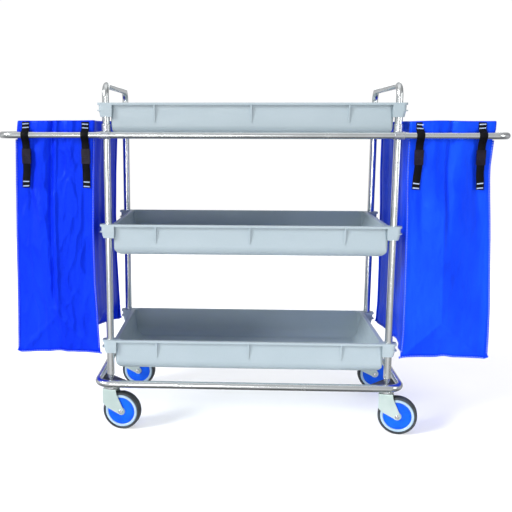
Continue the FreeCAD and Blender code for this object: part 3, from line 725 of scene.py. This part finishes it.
    # bottom hem
    ring = rings[-1]
    runs = [
        [ring[j] for j in range(NF + 1)],
        [ring[NF + j] for j in range(NS + 1)],
        [ring[NF + NS + j] for j in range(NF + 1)],
        [ring[(2 * NF + NS + j) % n] for j in range(NS + 1)],
    ]
    outs = [np.array([0, -1.0, 0]), np.array([side * 1.0, 0, 0]), np.array([0, 1.0, 0]), np.array([-side * 1.0, 0, 0])]
    for r, (run, o_) in enumerate(zip(runs, outs)):
        run = np.array(run)
        if r in (0, 2):  # ears: the hem runs past the corners and turns down
            d0 = (run[0] - run[1]) / np.linalg.norm(run[0] - run[1])
            d1 = (run[-1] - run[-2]) / np.linalg.norm(run[-1] - run[-2])
            run = np.vstack([run[0] + d0 * 0.0105 + [0, 0, -0.0022], run[0] + d0 * 0.005 + [0, 0, -0.0008], run, run[-1] + d1 * 0.005 + [0, 0, -0.0008], run[-1] + d1 * 0.0105 + [0, 0, -0.0022]])
        dn = np.array([0, 0, -1.0]) * 0.92 + o_ * 0.39
        dn /= np.linalg.norm(dn)
        tang = np.gradient(run, axis=0)
        tang /= np.linalg.norm(tang, axis=1)[:, None]
        sides = np.tile(dn, (len(run), 1))
        nr = np.cross(tang, sides)
        nr /= np.linalg.norm(nr, axis=1)[:, None]
        flip = (nr @ o_) < 0
        nr[flip] *= -1
        mid = run + sides * 0.0030
        soup.strip(mid, sides, nr, 0.0068, 0.0026)
        along = np.concatenate([[0], np.cumsum(np.linalg.norm(np.diff(mid, axis=0), axis=1))])
        step = 0.0085
        cnt = int((along[-1] - 0.010) / step)

        def at2(s):
            return np.array([np.interp(s, along, mid[:, c]) for c in range(3)]), np.array([np.interp(s, along, nr[:, c]) for c in range(3)])
        for k in range(cnt):
            (pa, na), (pb, nb) = at2(0.003 + k * step), at2(0.003 + k * step + 0.0042)
            ha, hb = -0.0008, 0.0012
            na = na / np.linalg.norm(na)
            stitches.thread(pa + dn * ha + na * 0.0017, pb + dn * hb + na * 0.0017, na, 0.00080)
    piece(name + "_seams", soup.v, soup.f, name)
    piece(name + "_overlock_thread", stitches.v, stitches.f, "thread")
    return rings


# ---------------------------------------------------------------- straps
RAIL_Y, RAIL_Z, RAIL_R = 0.239, 0.997, 0.011


def strap_path(upper):
    """Middle line of a strap's upper or lower part as (distance outward from the cart's middle plane, height)."""
    h = 0.0009
    if upper:
        r = RAIL_R + 0.0004 + h
        arc = [(RAIL_Y + r * math.cos(math.radians(a)), RAIL_Z + r * math.sin(math.radians(a))) for a in range(62, -45, -9)]
        pts = [(0.2288 + h, 1.0392), (0.2287 + h, 1.0300), (0.2290 + h, 1.0205), (0.2330 + h, 1.0135), (0.2390, 1.0100)] + arc[1:] + [
            (0.2415, 0.9815), (0.2365, 0.9725), (0.2338, 0.9640), (0.2332, 0.9560), (0.2331, 0.9455)]
    else:
        pts = [(0.2331, 0.9125), (0.2331, 0.9050), (0.2326, 0.8970), (0.2300, 0.8870), (0.2284, 0.8780), (0.2282, 0.8650), (0.2282, 0.8500), (0.2280, 0.8270)]
    pts = np.array(pts)
    for _ in range(2):  # round the corners by cutting them
        q = [pts[0]]
        for a, b in zip(pts[:-1], pts[1:]):
            q += [a * 0.75 + b * 0.25, a * 0.25 + b * 0.75]
        q.append(pts[-1])
        pts = np.array(q)
    return pts


LEAN = {(1, 0): -0.004, (1, 1): 0.004, (-1, 0): 0.0, (-1, 1): 0.006}


def front_face(side, x, z):
    """How far the front of the bag is from the cart's middle plane at x (taken from the cart's middle outward) and height z."""
    xi, xo = edge(INN[side], z) + FLANGE, edge(OUT[side], z) - FLANGE
    a = np.array([np.clip((x - xi) / (xo - xi), 0, 1)])
    taper = np.minimum(1, np.minimum(a, 1 - a) / 0.055)
    return 0.2248 + float(((front_relief(side, a, z) + crumple(side, a, z)) * taper)[0]) + 0.0012


def make_straps(side, front):
    name = f"straps_{'right' if side == 1 else 'left'}_{'front' if front else 'rear'}"
    yy = -1 if front else 1
    web, tack = Soup(), Soup()
    for w_, xc in enumerate((0.533, 0.727)):
        lean = LEAN[side, w_] if front else -LEAN[side, w_] * 0.5
        for upper in (True, False):
            p = strap_path(upper)
            if upper:
                xs = np.full(len(p), xc)
            else:
                xs = xc + lean * smooth(p[:, 1], 0.905, 0.83) ** 1.0
            yd = p[:, 0].copy()
            if front:
                need = np.array([max(front_face(side, x + e, z) for e in (-0.0125, -0.006, 0, 0.006, 0.0125)) + 0.0010 if z < 0.885 else 0.0 for x, z in zip(xs, p[:, 1])])
                yd = np.maximum(yd, need)
                for _ in range(3):
                    sm = yd.copy()
                    sm[1:-1] = (yd[:-2] + yd[1:-1] * 2 + yd[2:]) / 4
                    yd = np.where(p[:, 1] < 0.9, np.maximum(sm, need), yd)
            pts = np.stack([side * xs, yy * yd, p[:, 1]], 1)
            tang = np.gradient(pts, axis=0)
            tang /= np.linalg.norm(tang, axis=1)[:, None]
            sd = np.tile([1.0, 0, 0], (len(pts), 1))
            sd = sd - tang * (sd * tang).sum(1)[:, None]
            sd /= np.linalg.norm(sd, axis=1)[:, None]
            nr = np.cross(tang, sd)
            nr[(nr[:, 1] * yy) < 0] *= -1
            web.strip(pts, sd, nr, 0.0250, 0.0018)
            # thicker woven edges
            for e in (-1, 1):
                web.strip(pts + sd * (e * 0.0112) + nr * 0.0007, sd, nr, 0.0020, 0.0011)
            # bar tacks sewn across the strap near each end
            if upper:
                end = pts[:9] - nr[:9] * 0.0
                zs_t = (1.0322, 1.0200)
            else:
                zs_t = (0.8465, 0.8320)
            for zt in zs_t:
                i = int(np.argmin(np.abs(pts[:, 2] - zt)))
                c, s_, n_ = pts[i].copy(), sd[i], nr[i]
                t_ = tang[i]
                c = c + t_ * (zt - c[2]) / t_[2]
                tilt = 0.0006 if (w_ == 0) else -0.0006
                for k in range(13):
                    u = (k - 6) / 6 * 0.0092
                    a = c + s_ * (u - 0.0004) + n_ * 0.00135 + t_ * (0.0021 + tilt * k / 6)
                    b = c + s_ * (u + 0.0004) + n_ * 0.00135 - t_ * (0.0021 - tilt * k / 6)
                    tack.thread(a, b, n_, 0.00088, 0.6)
    o = piece(name + "_webbing", web.v, web.f, "webbing")
    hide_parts(name)
    piece(name + "_bar_tacks", tack.v, tack.f, "thread")


for side in (-1, 1):
    make_bag(side)
    make_straps(side, True)
    make_straps(side, False)

# ---------------------------------------------------------------- floor, world and lights
me = bpy.data.meshes.new("floor")
k = 24
g = [(-3.0 + 6.0 * i / k, -1.6 + 5.8 * j / k, 0.0) for i in range(k + 1) for j in range(k + 1)]
me.from_pydata(g, [], [(i * (k + 1) + j, (i + 1) * (k + 1) + j, (i + 1) * (k + 1) + j + 1, i * (k + 1) + j + 1) for i in range(k) for j in range(k)])
floor = bpy.data.objects.new("floor", me)
bpy.context.scene.collection.objects.link(floor)
t = Tree("floor")
t.color(t.ramp(t.noise(1.5, 3), [(0.3, (0.90, 0.90, 0.905)), (0.7, (0.93, 0.93, 0.93))]))
t.rough(t.span(t.noise(40, 3), 0.7, 0.85))
t.bump(t.noise(300, 2), 0.05, 0.0005)
me.materials.append(t.m)
floor.visible_glossy = False  # the tubes mirror a darker studio than the white sweep under the cart

world = bpy.data.worlds.new("studio")
bpy.context.scene.world = world
world.use_nodes = True
wt = world.node_tree
wt.nodes.clear()
wo = wt.nodes.new("ShaderNodeOutputWorld")
bg_seen = wt.nodes.new("ShaderNodeBackground")
bg_seen.inputs[0].default_value = (1, 1, 1, 1)
bg_seen.inputs[1].default_value = 1.02
bg_light = wt.nodes.new("ShaderNodeBackground")
lp = wt.nodes.new("ShaderNodeLightPath")
mx = wt.nodes.new("ShaderNodeMixShader")
wt.links.new(lp.outputs["Is Camera Ray"], mx.inputs[0])
wt.links.new(bg_light.outputs[0], mx.inputs[1])
wt.links.new(bg_seen.outputs[0], mx.inputs[2])
wt.links.new(mx.outputs[0], wo.inputs[0])
tc = wt.nodes.new("ShaderNodeTexCoord")
sx = wt.nodes.new("ShaderNodeSeparateXYZ")
wt.links.new(tc.outputs["Generated"], sx.inputs[0])
# soft overhead light, dark below the horizon past the floor's edge, and narrow dark strips to the sides that draw lines on the tubes


def world_ramp(axis, stops):
    r = wt.nodes.new("ShaderNodeValToRGB")
    m = wt.nodes.new("ShaderNodeMapRange")
    m.inputs["From Min"].default_value, m.inputs["From Max"].default_value = -1, 1
    wt.links.new(sx.outputs[axis], m.inputs["Value"])
    wt.links.new(m.outputs[0], r.inputs[0])
    el = r.color_ramp.elements
    el[0].position, el[0].color = (stops[0][0] + 1) / 2, (stops[0][1], stops[0][1], stops[0][1] * 1.01, 1)
    el[1].position, el[1].color = (stops[-1][0] + 1) / 2, (stops[-1][1], stops[-1][1], stops[-1][1] * 1.01, 1)
    for q, c in stops[1:-1]:
        e = el.new((q + 1) / 2)
        e.color = (c, c, c * 1.01, 1)
    return r.outputs[0]


up_down = world_ramp("Z", [(-1, 0.10), (-0.72, 0.26), (-0.42, 0.62), (-0.10, 0.70), (0.02, 0.58), (0.35, 0.50), (0.7, 0.52), (1, 0.55)])
left_right = world_ramp("X", [(-1, 0.95), (-0.90, 0.62), (-0.72, 0.58), (-0.55, 1.0), (0.5, 0.95), (0.66, 0.48), (0.92, 0.45), (1, 0.8)])
mul = wt.nodes.new("ShaderNodeMix")
mul.data_type, mul.blend_type = "RGBA", "MULTIPLY"
mul.inputs[0].default_value = 1.0
wt.links.new(up_down, mul.inputs[6])
wt.links.new(left_right, mul.inputs[7])
front_back = world_ramp("Y", [(-1, 0.52), (-0.05, 0.52), (0.4, 0.66), (0.8, 0.50), (1, 0.42)])
mul2 = wt.nodes.new("ShaderNodeMix")
mul2.data_type, mul2.blend_type = "RGBA", "MULTIPLY"
mul2.inputs[0].default_value = 1.0
wt.links.new(mul.outputs[2], mul2.inputs[6])
wt.links.new(front_back, mul2.inputs[7])
wt.links.new(mul2.outputs[2], bg_light.inputs[0])
bg_light.inputs[1].default_value = 2.0


def area(name, loc, target, size, size_y, power, color=(1, 1, 1)):
    d = bpy.data.lights.new(name, "AREA")
    d.shape, d.size, d.size_y, d.energy, d.color = "RECTANGLE", size, size_y, power, color
    o = bpy.data.objects.new(name, d)
    bpy.context.scene.collection.objects.link(o)
    o.location = loc
    o.rotation_mode = "QUATERNION"
    o.rotation_quaternion = (Vector(target) - Vector(loc)).to_track_quat("-Z", "Y")
    return o


key = bpy.data.objects.new("key", bpy.data.lights.new("key", "SUN"))
key.data.energy, key.data.angle = 3.0, math.radians(20)
bpy.context.scene.collection.objects.link(key)
key.rotation_mode = "QUATERNION"
key.rotation_quaternion = Vector((0.76, 0.47, -0.45)).to_track_quat("-Z", "Y")
area("front", (-0.7, -4.4, 0.6), (0, 0, 0.62), 0.8, 1.2, 40)
area("right", (3.3, -1.9, 1.5), (0, 0, 0.62), 1.2, 2.0, 20)
area("top", (0, -0.3, 3.6), (0, 0, 0.3), 3.0, 1.6, 6)
area("back", (0.6, 3.4, 2.4), (0, 0, 0.6), 3.0, 1.6, 20)

# a lamp that only lights the floor, as a studio lights its backdrop
only = bpy.data.collections.new("floor_only")
only.objects.link(floor)
sun = bpy.data.objects.new("floor_light", bpy.data.lights.new("floor_light", "SUN"))
sun.data.energy, sun.data.angle = 1.45, 0.3
bpy.context.scene.collection.objects.link(sun)
sun.light_linking.receiver_collection = only
sun.light_linking.blocker_collection = only
